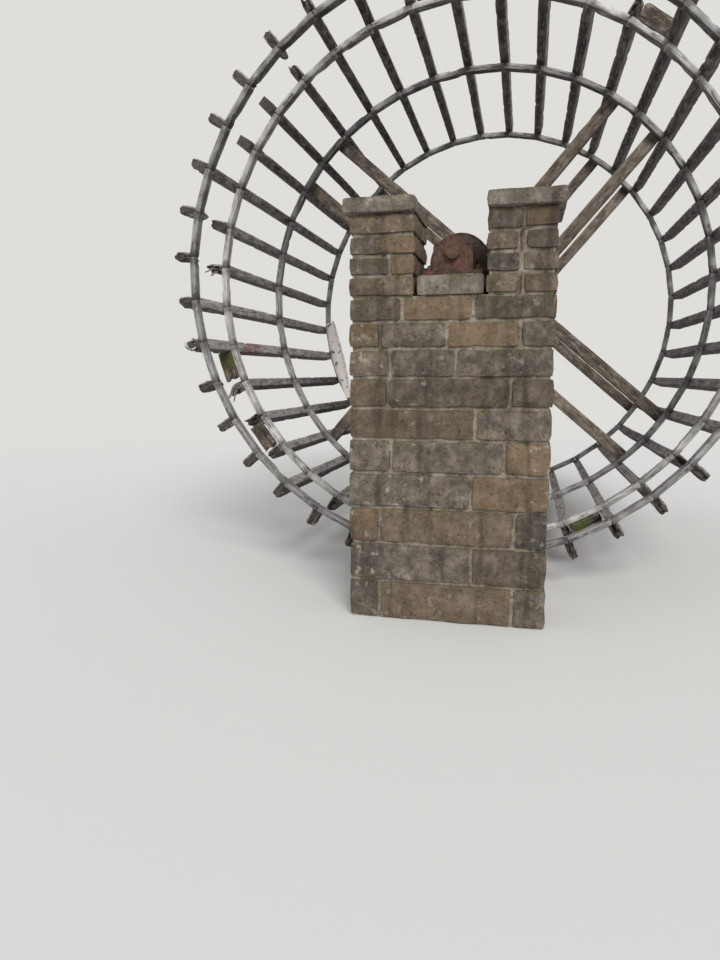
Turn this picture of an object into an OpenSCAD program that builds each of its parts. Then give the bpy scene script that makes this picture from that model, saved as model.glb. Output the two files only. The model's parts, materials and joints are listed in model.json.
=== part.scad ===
// Wide timber water wheel on two stone piers, in millimetres.
// The axle runs along +Y, away from the near end. Z is up and the foot of the piers is at z = 0.
// The origin lies on the level of the pier feet, under the middle of the whole length.

/* [Wheel] */

// radius to the middle of the ring slats
ring_r = 2400; // [2200:10:2600]
// thickness of a ring slat, measured along the radius
slat_t = 40; // [30:1:60]
// width of a ring slat, measured along the axle
slat_w = 85; // [60:1:110]
// gap between the ends of two slats
slat_gap = 4; // [2:0.5:8]
// number of floats round the wheel
floats_n = 40; // [40:1:40]
// distance of the second ring from the first
ring_2_at = 670; // [600:10:760]
// distance of the third ring from the first
ring_3_at = 2190; // [2000:10:2400]
// distance of the fourth ring from the first
ring_4_at = 4350; // [4100:10:4600]

/* [Floats] */

// thickness of a float board
float_t = 85; // [70:1:95]
// depth of a float board, measured along the radius
float_d = 150; // [130:5:180]
// how far the floats run past the outer rings
float_over = 110; // [80:5:140]
// play left between the ring slats and the boards that sit on them
seat_gap = 0.2; // [0.1:0.05:0.5]
// length of the float ends left at the first ring, one after the other, 0 where the float runs through
stub_lengths = [190, 0, 300, 240, 0, 0, 300, 150];
// thickness of a cheek board that closes the space between two floats at the second ring
cheek_t = 25; // [18:1:30]
// length of the pale board nailed across the fourth ring
patch_l = 1180; // [1100:10:1240]
// width of the pale board
patch_w = 135; // [110:5:150]
// thickness of the pale board
patch_t = 25; // [18:1:30]
// direction of the middle of the pale board, from +X up towards +Z
patch_at = 196.5; // [190:0.5:200]

/* [Arms and axle] */

// thickness of the square timber axle
axle_w = 440; // [400:10:480]
// chamfer along the corners of the axle
axle_cham = 60; // [40:5:90]
// how far the axle timber runs past the outer rings
axle_over = 330; // [320:5:335]
// width of an arm across its length
arm_w = 130; // [110:5:140]
// thickness of an arm, measured along the axle
arm_t = 100; // [80:10:120]
// width of an iron hoop on the axle end
hoop_w = 50; // [40:5:50]
// thickness of an iron hoop
hoop_t = 12; // [8:1:16]
// diameter of the gudgeon that turns in the bearing
pin_d = 100; // [80:5:120]
// radial running clearance of the gudgeon in its bearing
pin_clear = 0.05; // [0.02:0.01:0.1]
// depth of the gudgeon in the axle timber
pin_deep = 300; // [200:10:400]
// length of the free end beyond the far pier
pin_free = 260; // [200:10:320]
// diameter of the free end, turned down from the gudgeon
pin_free_d = 95; // [76:1:115]
// diameter of the flange on the gudgeon
flange_d = 330; // [300:10:360]
// thickness of the flange on the gudgeon
flange_t = 25; // [20:1:35]

/* [Piers] */

// width of a pier across the axle
pier_w = 1440; // [1300:20:1600]
// thickness of a pier along the axle
pier_t = 620; // [520:20:700]
// gap between the ends of the floats and the piers
pier_gap = 300; // [300:10:340]
// height of the axle above the foot of the piers
axle_h = 2660; // [2660:10:2900]
// width of the slot in the pier that takes the bearing
slot_w = 470; // [450:5:480]
// height of the pier cheeks above the axle
cheek_h = 250; // [200:10:300]
// thickness of the bed stone under the bearing
bed_t = 140; // [100:10:160]
// thickness of the coping stones
coping_t = 110; // [80:5:140]
// how far the coping stones run past the faces of the pier
coping_over = 40; // [30:5:60]
// height of the axle above the bed stone
bearing_h = 170; // [160:5:200]
// length of the bearing along the axle
bearing_t = 260; // [220:10:300]
// width of the bearing across the axle
bearing_w = 420; // [400:5:440]
// height of the bearing cap above the axle
cap_h = 110; // [100:5:130]

/* [Hidden] */

step = 360 / floats_n;
half = step / 2;
rings_at = [0, ring_2_at, ring_3_at, ring_4_at];
shift = (pin_free - coping_over) / 2;
mid_y = ring_4_at / 2 + shift;
last_y = ring_4_at - mid_y;
slat_in = ring_r - slat_t / 2;
slat_out = ring_r + slat_t / 2;
arm_turn = 5.5 * step;
seat_r = slat_out + seat_gap;
float_out = slat_out + float_d;
near_end = -mid_y - float_over;
stub_y = -mid_y - float_over / 2;
float_y = rings_at[1] - mid_y - float_over;
far_end = last_y + float_over;
axle_near = -mid_y - axle_over;
axle_far = last_y + axle_over;
pier_near_y = near_end - pier_gap - pier_t;
pier_far_y = far_end + pier_gap;
arm_off = (axle_w + arm_w) / 2;
bearing_in = (pier_t - bearing_t) / 2;
bed_z = axle_h - bearing_h - bed_t;
coping_z = axle_h + cheek_h;
$fn = 96;

// turns a child by an angle in the plane of the wheel, counted from +X up towards +Z
module spoke_dir(a) {
    translate([0, 0, axle_h])
        rotate([0, -a, 0])
            children();
}

// many-sided prism through the flats of the slats, between two distances along the axle
module ring_prism(apothem, y0, y1) {
    translate([0, y1, axle_h])
        rotate([90, 0, 0])
            linear_extrude(y1 - y0)
                polygon([for (i = [0:floats_n - 1])
                    [apothem / cos(half) * cos(half + step * i),
                     apothem / cos(half) * sin(half + step * i)]]);
}

// one ring: a straight slat from each float to the next
module ring(k) {
    chord = 2 * slat_in * tan(half) - slat_gap;
    for (i = [0:floats_n - 1])
        spoke_dir(step * i)
            translate([slat_in, rings_at[k] - mid_y - slat_w / 2, -chord / 2])
                cube([slat_t, slat_w, chord]);
}

// one float board, from one distance along the axle to another
module float_board(i, y0, y1) {
    difference() {
        spoke_dir(half + step * i)
            translate([slat_in, y0, -float_t / 2])
                cube([float_out - slat_in, y1 - y0, float_t]);
        ring_prism(seat_r, y0 - 1, y1 + 1);
    }
}

// what is left of a float at the first ring
function stub_length(i) = stub_lengths[i % len(stub_lengths)];

module floats(sector) {
    n = floats_n / 8;
    for (i = [sector * n:sector * n + n - 1])
        float_board(i, stub_length(i) == 0 ? stub_y : float_y, far_end);
}

module float_stubs(quarter) {
    n = floats_n / 4;
    for (i = [quarter * n:quarter * n + n - 1])
        if (stub_length(i) > 0)
            float_board(i, stub_y, stub_y + stub_length(i));
}

// half the width of the space between two floats at a given radius
function space_half(r) = r * tan(half) - float_t / 2 / cos(half);

// a cheek board between two floats, on the near side of the second ring
module cheek_board(i) {
    y0 = ring_2_at - mid_y - slat_w / 2;
    spoke_dir(step * i)
        translate([0, y0 + cheek_t, 0])
            rotate([90, 0, 0])
                linear_extrude(cheek_t)
                    polygon([
                        [seat_r, seat_gap - space_half(seat_r)],
                        [float_out, seat_gap - space_half(float_out)],
                        [float_out, space_half(float_out) - seat_gap],
                        [seat_r, space_half(seat_r) - seat_gap]
                    ]);
}

module cheek_boards() {
    for (i = [22, 24, 2, 6, 11, 29, 33, 38])
        cheek_board(i);
}

// a pair of arms that clasp the axle, halved over the other pair
module arms(k, a, y_keep) {
    y0 = rings_at[k] - mid_y + slat_w / 2;
    difference() {
        intersection() {
            spoke_dir(a)
                for (s = [-1, 1])
                    translate([-ring_r * 1.1, y0, s * arm_off - arm_w / 2])
                        cube([ring_r * 2.2, arm_t, arm_w]);
            ring_prism(slat_out, y0 - 1, y0 + arm_t + 1);
        }
        spoke_dir(a + 90)
            for (s = [-1, 1])
                translate([-axle_w, y0 + y_keep * arm_t / 2, s * arm_off - arm_w / 2])
                    cube([axle_w * 2, arm_t / 2, arm_w]);
    }
}

module axle() {
    difference() {
        intersection() {
            spoke_dir(arm_turn)
                translate([0, axle_far, 0])
                    rotate([90, 0, 0])
                        linear_extrude(axle_far - axle_near)
                            polygon([
                                [axle_w / 2, axle_w / 2 - axle_cham],
                                [axle_w / 2 - axle_cham, axle_w / 2],
                                [-axle_w / 2 + axle_cham, axle_w / 2],
                                [-axle_w / 2, axle_w / 2 - axle_cham],
                                [-axle_w / 2, -axle_w / 2 + axle_cham],
                                [-axle_w / 2 + axle_cham, -axle_w / 2],
                                [axle_w / 2 - axle_cham, -axle_w / 2],
                                [axle_w / 2, -axle_w / 2 + axle_cham]
                            ]);
            union() {
                translate([0, axle_far, axle_h])
                    rotate([90, 0, 0])
                        cylinder(d = axle_w, h = axle_far - axle_near);
                translate([-axle_w, axle_near + 3.2 * hoop_w, axle_h - axle_w])
                    cube([2 * axle_w, axle_far - axle_near - 6.4 * hoop_w, 2 * axle_w]);
            }
        }
        for (y = [axle_near - 1, axle_far - pin_deep])
            translate([0, y + pin_deep + 1, axle_h])
                rotate([90, 0, 0])
                    cylinder(d = pin_d, h = pin_deep + 1);
    }
}

module hoop(y) {
    translate([0, y + hoop_w, axle_h])
        rotate([90, 0, 0])
            difference() {
                cylinder(d = axle_w + 2 * hoop_t, h = hoop_w);
                translate([0, 0, -1])
                    cylinder(d = axle_w, h = hoop_w + 2);
            }
}

module axle_hoops() {
    hoop(axle_near + 10);
    hoop(axle_near + 10 + 1.5 * hoop_w);
    hoop(axle_far - 10 - hoop_w);
    hoop(axle_far - 10 - 2.5 * hoop_w);
}

// a round iron bar along the axle, between two distances
module bar(d, y0, y1) {
    translate([0, y1, axle_h])
        rotate([90, 0, 0])
            cylinder(d = d, h = y1 - y0);
}

// near gudgeon: pin in the axle timber, flange on its end and journal in the bearing
module gudgeon_near() {
    bar(pin_d, pier_near_y + bearing_in - 40, axle_near + pin_deep);
    bar(flange_d, axle_near - flange_t, axle_near);
}

// far gudgeon: the same, with the free end turned down
module gudgeon_far() {
    bar(pin_d, axle_far - pin_deep, pier_far_y + pier_t);
    bar(flange_d, axle_far, axle_far + flange_t);
    bar(pin_free_d, pier_far_y + pier_t - 1, pier_far_y + pier_t + pin_free);
}

// the pale new board nailed across the near face of the fourth ring
module patch_board() {
    reach = sqrt(pow(slat_out, 2) - pow(patch_l / 2, 2));
    translate([0, last_y - slat_w / 2 - patch_t, 0])
        spoke_dir(patch_at)
            translate([reach - patch_w, 0, -patch_l / 2])
                cube([patch_w, patch_t, patch_l]);
}

module pier(y0) {
    difference() {
        translate([-pier_w / 2, y0, 0])
            cube([pier_w, pier_t, coping_z]);
        translate([-slot_w / 2, y0 - 1, bed_z])
            cube([slot_w, pier_t + 2, coping_z]);
    }
}

module bed_stone(y0) {
    translate([-slot_w / 2, y0, bed_z])
        cube([slot_w, pier_t, bed_t]);
}

module copings(y0) {
    for (s = [0, 1])
        mirror([s, 0, 0])
            translate([slot_w / 2, y0 - coping_over, coping_z])
                cube([(pier_w - slot_w) / 2 + coping_over, pier_t + 2 * coping_over, coping_t]);
}

module bore(y0) {
    translate([0, y0 + bearing_t + 1, axle_h])
        rotate([90, 0, 0])
            cylinder(d = pin_d + 2 * pin_clear, h = bearing_t + 2);
}

module bearing(y0) {
    difference() {
        union() {
            translate([-bearing_w / 2, y0, axle_h - bearing_h])
                cube([bearing_w, bearing_t, 50]);
            translate([-bearing_w / 2 + 70, y0, axle_h - bearing_h])
                cube([bearing_w - 140, bearing_t, bearing_h]);
        }
        bore(y0);
    }
}

module bearing_cap(y0) {
    difference() {
        union() {
            translate([-bearing_w / 2 + 70, y0, axle_h])
                cube([bearing_w - 140, bearing_t, 45]);
            intersection() {
                translate([0, y0 + bearing_t, axle_h])
                    rotate([90, 0, 0])
                        cylinder(r = cap_h, h = bearing_t);
                translate([-cap_h, y0, axle_h])
                    cube([2 * cap_h, bearing_t, cap_h]);
            }
        }
        bore(y0);
    }
}

old_wood = [0.62, 0.6, 0.55];
brown_wood = [0.45, 0.36, 0.27];
iron = [0.35, 0.3, 0.27];
masonry = [0.6, 0.56, 0.5];

color(old_wood) ring(0);  // ring_1
color(old_wood) ring(1);  // ring_2
color(old_wood) ring(2);  // ring_3
color(old_wood) ring(3);  // ring_4
color(brown_wood) arms(2, arm_turn, 0);  // arms_3_rising
color(brown_wood) arms(2, arm_turn + 90, 1);  // arms_3_falling
color(brown_wood) arms(3, arm_turn, 0);  // arms_4_rising
color(brown_wood) arms(3, arm_turn + 90, 1);  // arms_4_falling
color(brown_wood) axle();
color(iron) axle_hoops();
color(iron) gudgeon_near();
color(iron) gudgeon_far();
color(old_wood) floats(0);  // floats_1
color(old_wood) floats(1);  // floats_2
color(old_wood) floats(2);  // floats_3
color(old_wood) floats(3);  // floats_4
color(old_wood) floats(4);  // floats_5
color(old_wood) floats(5);  // floats_6
color(old_wood) floats(6);  // floats_7
color(old_wood) floats(7);  // floats_8
color(old_wood) float_stubs(0);  // float_stubs_1
color(old_wood) float_stubs(1);  // float_stubs_2
color(old_wood) float_stubs(2);  // float_stubs_3
color(old_wood) float_stubs(3);  // float_stubs_4
color(brown_wood) cheek_boards();
color([0.85, 0.8, 0.78]) patch_board();
color(masonry) pier(pier_near_y);  // pier_near
color(masonry) pier(pier_far_y);  // pier_far
color(masonry) bed_stone(pier_near_y);  // bed_stone_near
color(masonry) bed_stone(pier_far_y);  // bed_stone_far
color(masonry) copings(pier_near_y);  // copings_near
color(masonry) copings(pier_far_y);  // copings_far
color(iron) bearing(pier_near_y + bearing_in);  // bearing_near
color(iron) bearing(pier_far_y + bearing_in);  // bearing_far
color(iron) bearing_cap(pier_near_y + bearing_in);  // bearing_cap_near
color(iron) bearing_cap(pier_far_y + bearing_in);  // bearing_cap_far
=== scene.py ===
# %% [markdown]
# This notebook dresses a derelict timber water wheel: a drum of four slatted rings that carry
# forty float boards, on clasp arms and an oak axle, between two stone piers.
# The measured model is loaded first and never moved. Every board and stone made below takes its
# place from it, so nothing has to be fitted by eye.

import functools
import json
import math
import random

import bmesh
import bpy
from mathutils import Matrix, Vector, noise


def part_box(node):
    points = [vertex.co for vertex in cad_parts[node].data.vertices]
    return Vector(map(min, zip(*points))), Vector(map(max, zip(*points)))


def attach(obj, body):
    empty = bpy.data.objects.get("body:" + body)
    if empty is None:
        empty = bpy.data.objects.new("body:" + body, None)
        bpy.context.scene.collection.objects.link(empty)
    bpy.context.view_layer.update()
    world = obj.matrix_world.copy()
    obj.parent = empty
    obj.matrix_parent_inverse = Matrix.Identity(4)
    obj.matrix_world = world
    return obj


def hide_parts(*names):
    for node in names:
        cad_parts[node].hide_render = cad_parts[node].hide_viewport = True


noise.seed_set(9)  # noise vectors start from the clock otherwise, and each run would differ
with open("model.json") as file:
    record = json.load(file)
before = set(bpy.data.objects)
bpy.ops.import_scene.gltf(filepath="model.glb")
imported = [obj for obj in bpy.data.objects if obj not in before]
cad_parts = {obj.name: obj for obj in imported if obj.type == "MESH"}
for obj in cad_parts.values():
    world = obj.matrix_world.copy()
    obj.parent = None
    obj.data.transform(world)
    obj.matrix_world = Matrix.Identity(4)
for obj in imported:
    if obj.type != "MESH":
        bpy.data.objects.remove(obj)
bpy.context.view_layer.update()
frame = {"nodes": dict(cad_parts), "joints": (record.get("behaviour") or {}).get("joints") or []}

# %% [markdown]
# The wheel turns about one line, the axle, so a place on it is easiest to give as a turn about
# that line, a distance from it and a distance along it. The axle's height comes from the hinge.
# The rings' places and radius come from the boxes of the ring nodes.

# %% Measures taken from the frame
HUB = Vector(frame["joints"][0]["pos_m"])
ALONG = Vector((0, 1, 0))
UP = Vector((0, 0, 1))
RINGS = (1, 2, 3, 4)
RING_Y = {k: sum(corner.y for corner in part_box(f"ring_{k}")) / 2 for k in RINGS}
SLAT_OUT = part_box("ring_1")[1].z - HUB.z
FLOATS = 40
STEP = math.tau / FLOATS
print("axle height", HUB.z, "ring places", [round(y, 3) for y in RING_Y.values()])
print("radius over the slats", round(SLAT_OUT, 3))


def spoke(turn):
    """The directions outwards and round the wheel at a turn from +X up towards +Z."""
    outwards = Vector((math.cos(turn), 0, math.sin(turn)))
    round_it = Vector((-math.sin(turn), 0, math.cos(turn)))
    return outwards, round_it


def between(value, low, high):
    """How far a value is on its way from low to high, from 0 to 1."""
    return max(0.0, min(1.0, (value - low) / (high - low)))


# %% [markdown]
# A node of the frame can hold several solids, such as the forty slats of a ring. To put one
# weathered board in the place of each solid, the node's mesh is split into its loose parts and
# each part is measured along the directions of its own spoke.

# %% Solids of a node
MERGE_WITHIN = 1e-5


def solids(node):
    """The separate solids of a node, each as a list of its corner points."""
    loose = bmesh.new()
    loose.from_mesh(frame["nodes"][node].data)
    bmesh.ops.remove_doubles(loose, verts=loose.verts, dist=MERGE_WITHIN)
    waiting = set(loose.verts)
    found = []
    for first in list(loose.verts):
        if first not in waiting:
            continue
        waiting.remove(first)
        reached, points = [first], []
        while reached:
            vert = reached.pop()
            points.append(vert.co.copy())
            for edge in vert.link_edges:
                other = edge.other_vert(vert)
                if other in waiting:
                    waiting.remove(other)
                    reached.append(other)
        found.append(points)
    loose.free()
    return found


def turn_of(points):
    """The turn of a solid's middle about the axle, from 0 to a full turn."""
    middle = sum(points, Vector()) / len(points) - HUB
    return math.atan2(middle.z, middle.x) % math.tau


def seat(points, length_way, thick_way, width_way):
    """The size of a solid along three ways, and the matrix that puts a board in its place."""
    ways = (length_way, thick_way, width_way)
    spans = []
    for way in ways:
        reaches = [(point - HUB).dot(way) for point in points]
        spans.append((min(reaches), max(reaches)))
    middle = HUB + sum((w * sum(s) / 2 for w, s in zip(ways, spans)), Vector())
    turned = Matrix(ways).transposed().to_4x4()
    return Vector([high - low for low, high in spans]), Matrix.Translation(middle) @ turned


print("slats in ring 1:", len(solids("ring_1")))

# %% [markdown]
# The camera stands where the photo was taken: in front of the near pier, a little to the right
# of the axle, looking slightly left and down. The lens is a wide one: on a picture 36 mm high and
# 960 pixels high, 26 mm is the focal length of 693 pixels that the rings were fitted with. A
# camera can be aimed with a constraint, but a plain turn keeps the horizon level.

# %% Camera
CAMERA_AT = Vector((0.528, -8.212, 1.81))
LOOK_LEFT = math.radians(13.3)
LOOK_DOWN = math.radians(8.66)
LENS_MM, PICTURE_MM = 26, 36

camera_data = bpy.data.cameras.new("camera")
camera_data.lens = LENS_MM
camera_data.sensor_width = PICTURE_MM
camera = bpy.data.objects.new("camera", camera_data)
camera.location = CAMERA_AT
camera.rotation_euler = (math.pi / 2 - LOOK_DOWN, 0, LOOK_LEFT)
bpy.context.scene.collection.objects.link(camera)
bpy.context.scene.camera = camera
bpy.context.scene.view_settings.view_transform = "Standard"
print("camera at", tuple(CAMERA_AT))

# %% [markdown]
# Colours are noted as sRGB hex values, as a paint chart gives them, and a shader wants linear
# ones, so one function turns them. A material is a tree of nodes, and one function adds a node with
# its settings, its values and its links, which keeps each material below to a short recipe.

# %% Colour and node helpers
def colour(hex_code):
    """An sRGB hex colour as linear red, green, blue and alpha."""
    parts = [int(hex_code[i:i + 2], 16) / 255 for i in (1, 3, 5)]
    return [p / 12.92 if p <= 0.04045 else ((p + 0.055) / 1.055) ** 2.4 for p in parts] + [1]


def add_node(tree, kind, values=None, stops=(), output=0, **settings):
    """Adds a node and gives back the output that the next node reads. Settings are the node's
    properties. Values go to its inputs, as numbers, hex colours or links."""
    made = tree.nodes.new("ShaderNode" + kind)
    for name, setting in settings.items():
        setattr(made, name, setting)
    for socket, value in (values or {}).items():
        if isinstance(value, bpy.types.NodeSocket):
            tree.links.new(value, made.inputs[socket])
        else:
            made.inputs[socket].default_value = colour(value) if isinstance(value, str) else value
    for i, (position, hex_code) in enumerate(stops):
        ramp = made.color_ramp.elements
        stop = ramp[i] if i < len(ramp) else ramp.new(position)
        stop.position = position
        stop.color = colour(hex_code)
    return made.outputs[output] if made.outputs else made


def emptied(owner):
    """Clears the nodes of a material or world, and gives the function that adds new ones to it."""
    owner.use_nodes = True
    owner.node_tree.nodes.clear()
    return functools.partial(add_node, owner.node_tree)


# %% [markdown]
# The stage is a pale studio floor under soft light. Far from the wheel the floor fades into the
# pale background, but only where the camera looks at it, so that it adds no light to the wheel.
# An even sky gives half of the light and a wide sun the other half, which keeps shadows soft and
# shows a colour about as it is written.

# %% Floor and light
PALE = "#dfdeda"
FLOOR = "#d0cfcb"
SKY = "#f4f6fa"
SKY_STRENGTH = 0.70
FLOOR_RADIUS = 60
FADE_FROM, FADE_TO = 9, 20
SUN_STRENGTH = 2.5
SUN_SPREAD = math.radians(28)
SUN_TURN = [math.radians(angle) for angle in (52, -8, 30)]


def studio_floor():
    material = bpy.data.materials.new("pale studio floor")
    add = emptied(material)
    shader = add("BsdfPrincipled", {"Base Color": FLOOR, "Roughness": 0.9})
    spot = add("TexCoord", output="Object")
    far = add("VectorMath", {0: spot}, operation="LENGTH", output="Value")
    fade = add("MapRange", {"Value": far, "From Min": FADE_FROM, "From Max": FADE_TO},
               interpolation_type="SMOOTHSTEP")
    seen = add("LightPath", output="Is Camera Ray")
    share = add("Math", {0: fade, 1: seen}, operation="MULTIPLY")
    glow = add("Emission", {"Color": PALE, "Strength": 1.0})
    mixed = add("MixShader", {0: share, 1: shader, 2: glow})
    add("OutputMaterial", {"Surface": mixed})
    disc = bmesh.new()
    bmesh.ops.create_circle(disc, cap_ends=True, segments=96, radius=FLOOR_RADIUS)
    mesh = bpy.data.meshes.new("floor")
    disc.to_mesh(mesh)
    disc.free()
    mesh.materials.append(material)
    floor = bpy.data.objects.new("floor", mesh)
    bpy.context.scene.collection.objects.link(floor)


def studio_light():
    world = bpy.data.worlds.new("studio")
    bpy.context.scene.world = world
    add = emptied(world)
    even = add("Background", {"Color": SKY, "Strength": SKY_STRENGTH})
    shown = add("Background", {"Color": PALE, "Strength": 1.0})
    rays = add("LightPath").node.outputs
    mirrored = add("Math", {0: rays["Is Glossy Ray"], 1: rays["Is Transmission Ray"]},
                   operation="MAXIMUM")
    seen = add("Math", {0: rays["Is Camera Ray"], 1: mirrored}, operation="MAXIMUM")
    add("OutputWorld", {"Surface": add("MixShader", {0: seen, 1: even, 2: shown})})
    sun_data = bpy.data.lights.new("wide sun", "SUN")
    sun_data.energy = SUN_STRENGTH
    sun_data.angle = SUN_SPREAD
    sun = bpy.data.objects.new("wide sun", sun_data)
    sun.rotation_euler = SUN_TURN
    bpy.context.scene.collection.objects.link(sun)


studio_floor()
studio_light()
print("floor", FLOOR, "background", PALE)

# %% [markdown]
# Weather works on a surface in layers: bleaching, dirt, lichen and moss lie over each other, each
# where some pattern is strong enough. So the finishes below are laid in the same way. A share is
# a strength times how far each pattern is between two limits, and a layer is a colour mixed in by
# its share. The patterns are noises, and the size of each is given in metres. It is the real
# thing's own size, except where a comment says that it is drawn coarser.

# %% Layers of a finish
def patterns(add, where, recipes):
    """The noises of a finish. Each recipe is a size, alike or along each axis, with its detail and
    roughness."""
    made = []
    for size, detail, rough in recipes:
        sizes = size if isinstance(size, tuple) else (size, size, size)
        scaled = add("Mapping", {"Vector": where, "Scale": [1 / side for side in sizes]})
        made.append(add("TexNoise", {"Vector": scaled, "Scale": 1.0, "Detail": detail,
                                     "Roughness": rough}))
    return made


def share_of(add, strength, *limits):
    """A strength times how far each pattern is between its limits, or between the least and the
    most share that follow them."""
    for pattern, low, high, *ends in limits:
        least, most = ends or (0, 1)
        part = add("MapRange", {"Value": pattern, "From Min": low, "From Max": high,
                                "To Min": least, "To Max": most})
        strength = add("Math", {0: strength, 1: part}, operation="MULTIPLY")
    return strength


def lay_over(add, under, over, strength, *limits):
    """Lays one colour over another by its share."""
    share = share_of(add, strength, *limits)
    return add("Mix", {0: share, 6: under, 7: over}, output=2, data_type="RGBA")


def tone_and_painted_shade(add, surface, shade):
    """Makes a surface darker or lighter by a grey: its own tone, and on the oak also painted shade.
    """
    grey = add("CombineColor", {0: shade, 1: shade, 2: shade})
    return add("Mix", {0: 1.0, 6: surface, 7: grey}, output=2, data_type="RGBA",
               blend_type="MULTIPLY")


def finished(material, add, surface, height, roughness, bump, specular=0.5):
    """Closes a recipe with its shader. Bump is the strength and the depth of the relief."""
    relief = add("Bump", {"Height": height, "Strength": bump[0], "Distance": bump[1]})
    shader = add("BsdfPrincipled", {"Base Color": surface, "Normal": relief,
                                    "Roughness": roughness, "Specular IOR Level": specular})
    add("OutputMaterial", {"Surface": shader})
    print("finish:", material.name)
    return material


# %% [markdown]
# Sawn oak that has stood in the weather for decades turns silver on the sides that the sky sees
# and stays brown and damp underneath. Here the brown on faces that look down is partly that damp
# and partly painted shade, and those faces are also painted darker, which is painted shade. It
# checks along the grain, grows pale lichen on its upper sides and moss where it stays wet, and
# nails leave dark stains. Bleached and dark patches, three or four times as long as wide, break
# up the grey. The finish reads a UV map whose U runs along the board, so the grain follows each
# board however it is turned, and a few attributes that the board builder writes: tone, brown,
# moss, sky, arris, stain and paint.
# Grain bands are drawn 9 mm wide: the real ones are under 2 mm and would not show at this distance.

# %% Weathered oak
MARKS = ("tone", "brown", "moss", "arris", "stain", "paint", "sky")
CHECK, NAIL_STAIN, RED_PAINT, LICHEN = "#211c19", "#2d2927", "#7b3c38", "#c3c4b6"
MOSS_DARK, MOSS_LIGHT = "#2f3a17", "#66732f"
GRAIN_SIZES = [((0.26, 0.009, 1), 4, 0.6), ((0.9, 0.045, 1), 2, 0.6), ((0.13, 0.036, 1), 5, 0.7),
               ((0.55, 0.03, 1), 1, 0.6), ((0.12, 0.03, 1), 5, 0.7)]
GROWTH_SIZES = [(0.16, 3, 0.6), (0.028, 2, 0.7), (0.3, 3, 0.6), (0.07, 4, 0.6), (0.012, 3, 0.6),
                (0.02, 3, 0.6)]


def weathered_oak(name, bleached, silver, mid, brown, dark, lichen_share, moss_share):
    """Oak sawn with a frame saw and weathered in the open."""
    material = bpy.data.materials.new(name)
    add = emptied(material)
    spot = add("TexCoord", output="Object")
    grain = add("UVMap", uv_map="grain")
    fibres, bands, patches, check_lines, flakes = patterns(add, grain, GRAIN_SIZES)
    blotches, lichen_spots, lichen_areas, moss_areas, tufts, moss_edge = patterns(
        add, spot, GROWTH_SIZES)
    mark = {kind: add("Attribute", attribute_name=kind, output="Fac") for kind in MARKS}
    sky = mark["sky"]

    weathered = add("ValToRGB", {"Fac": fibres}, stops=[(0.26, dark), (0.37, mid), (0.52, silver)])
    # The brown ramp goes where faces look down and where the brown mark asks: partly damp wood,
    # partly painted shade.
    damp_and_shade_brown = add("ValToRGB", {"Fac": bands}, stops=[(0.3, dark), (0.6, brown)])
    shade_and_damp_below = share_of(add, 0.6, (sky, -0.8, 0.15, 1, 0))
    browned = add("Math", {0: shade_and_damp_below, 1: mark["brown"]}, operation="ADD")
    uneven = share_of(add, 1, (blotches, 0.35, 0.65, -0.3, 0.3))
    browned = add("Math", {0: browned, 1: uneven}, operation="ADD", use_clamp=True)
    wood = lay_over(add, weathered, damp_and_shade_brown, browned)
    wood = lay_over(add, wood, bleached, 0.7, (patches, 0.52, 0.62))
    wood = lay_over(add, wood, dark, 0.6, (patches, 0.46, 0.36))
    wood = lay_over(add, wood, silver, 0.35, (mark["arris"], 0, 1))

    off_line = add("Math", {0: check_lines, 1: 0.5}, operation="SUBTRACT")
    off_line = add("Math", {0: off_line}, operation="ABSOLUTE")
    checks = share_of(add, 1, (off_line, 0, 0.03, 1, 0), (blotches, 0.43, 0.51))
    wood = lay_over(add, wood, CHECK, 0.85, (checks, 0, 1))
    wood = lay_over(add, wood, NAIL_STAIN, mark["stain"], (fibres, 0.3, 0.6))
    wood = lay_over(add, wood, RED_PAINT, 0.85, (mark["paint"], 0, 1), (flakes, 0.42, 0.58))
    wood = lay_over(add, wood, LICHEN, 1, (lichen_spots, 0.56, 0.63), (lichen_areas, 0.42, 0.6),
                    (sky, -0.3, 0.6, 0.15, lichen_share))

    above_ground = add("SeparateXYZ", {0: spot}, output=2)
    moss = share_of(add, moss_share, (moss_areas, 0.55, 0.66), (above_ground, 0.6, 3.4, 1, 0.15))
    moss = add("Math", {0: moss, 1: mark["moss"]}, operation="ADD", use_clamp=True)
    moss = share_of(add, moss, (moss_edge, 0.35, 0.55))
    green = lay_over(add, MOSS_DARK, MOSS_LIGHT, 1, (tufts, 0.35, 0.65))
    wood = lay_over(add, wood, green, moss)
    # Faces that look down are multiplied down to 0.42: painted shade, on top of each board's tone.
    wood = tone_and_painted_shade(add, wood, share_of(add, mark["tone"], (sky, -1, 0.1, 0.42, 1)))

    height = add("Math", {0: fibres, 1: share_of(add, 0.8, (bands, 0, 1))}, operation="ADD")
    height = add("Math", {0: height, 1: checks}, operation="SUBTRACT")
    height = add("Math", {0: height, 1: share_of(add, 1.5, (moss, 0, 1))}, operation="ADD")
    return finished(material, add, wood, height, 0.88, (0.7, 0.004), specular=0.3)


SILVER_OAK = weathered_oak("silver-grey weathered oak", "#d6d3cf", "#b9b6b3", "#9c9996",
                           "#6a5d58", "#4b4440", 0.75, 0.25)
FLOAT_OAK = weathered_oak("grey-brown weathered oak", "#bdb8b4", "#a29d9a", "#878180",
                          "#645553", "#403836", 0.7, 0.35)
BROWN_OAK = weathered_oak("damp brown oak", "#a39788", "#8a7e70", "#6f6254",
                          "#54453a", "#302824", 0.35, 0.5)

# %% [markdown]
# Cut ends show end grain: growth rings and radial checks, darker than the faces because they
# drink water. The end faces get this finish as a second material. The rings are a wave texture
# in the board's own section. Its scale of one in 12 mm puts them nearly 4 mm apart, as oak rings
# are 2 to 5 mm, and a strong distortion makes them uneven.

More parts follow.
